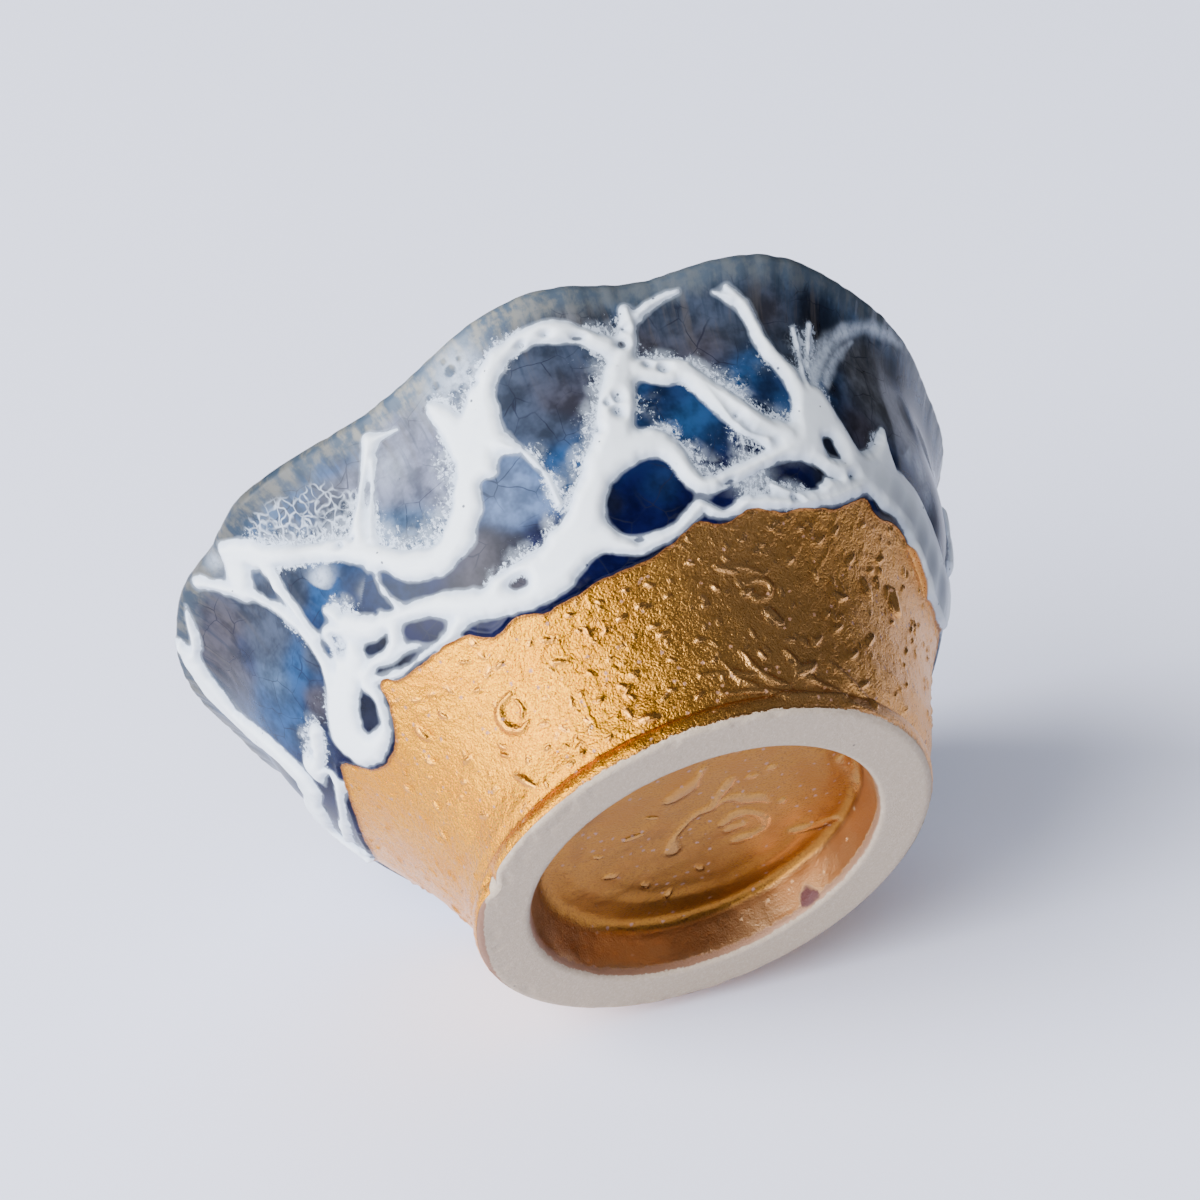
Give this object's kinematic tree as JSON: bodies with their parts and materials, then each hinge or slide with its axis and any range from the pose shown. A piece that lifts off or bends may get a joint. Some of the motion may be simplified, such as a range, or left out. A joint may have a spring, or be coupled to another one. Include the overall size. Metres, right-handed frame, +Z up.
{
  "type": "sake cup",
  "caption": "Small lobed sake cup with a flared wavy rim, a tapering wall and a recessed foot ring.",
  "frame": {"origin": "middle of the bounding box, at the level of the foot ring's flat underside", "axes": "+Z up through the mouth of the standing cup; -Y is the side that the picture shows, seen from below"},
  "size_m": [0.0734, 0.071, 0.0391],
  "materials": {
    "glaze": "gloss"
  },
  "bodies": {
    "root": {"sake_cup": "glaze"}
  },
  "joints": []
}
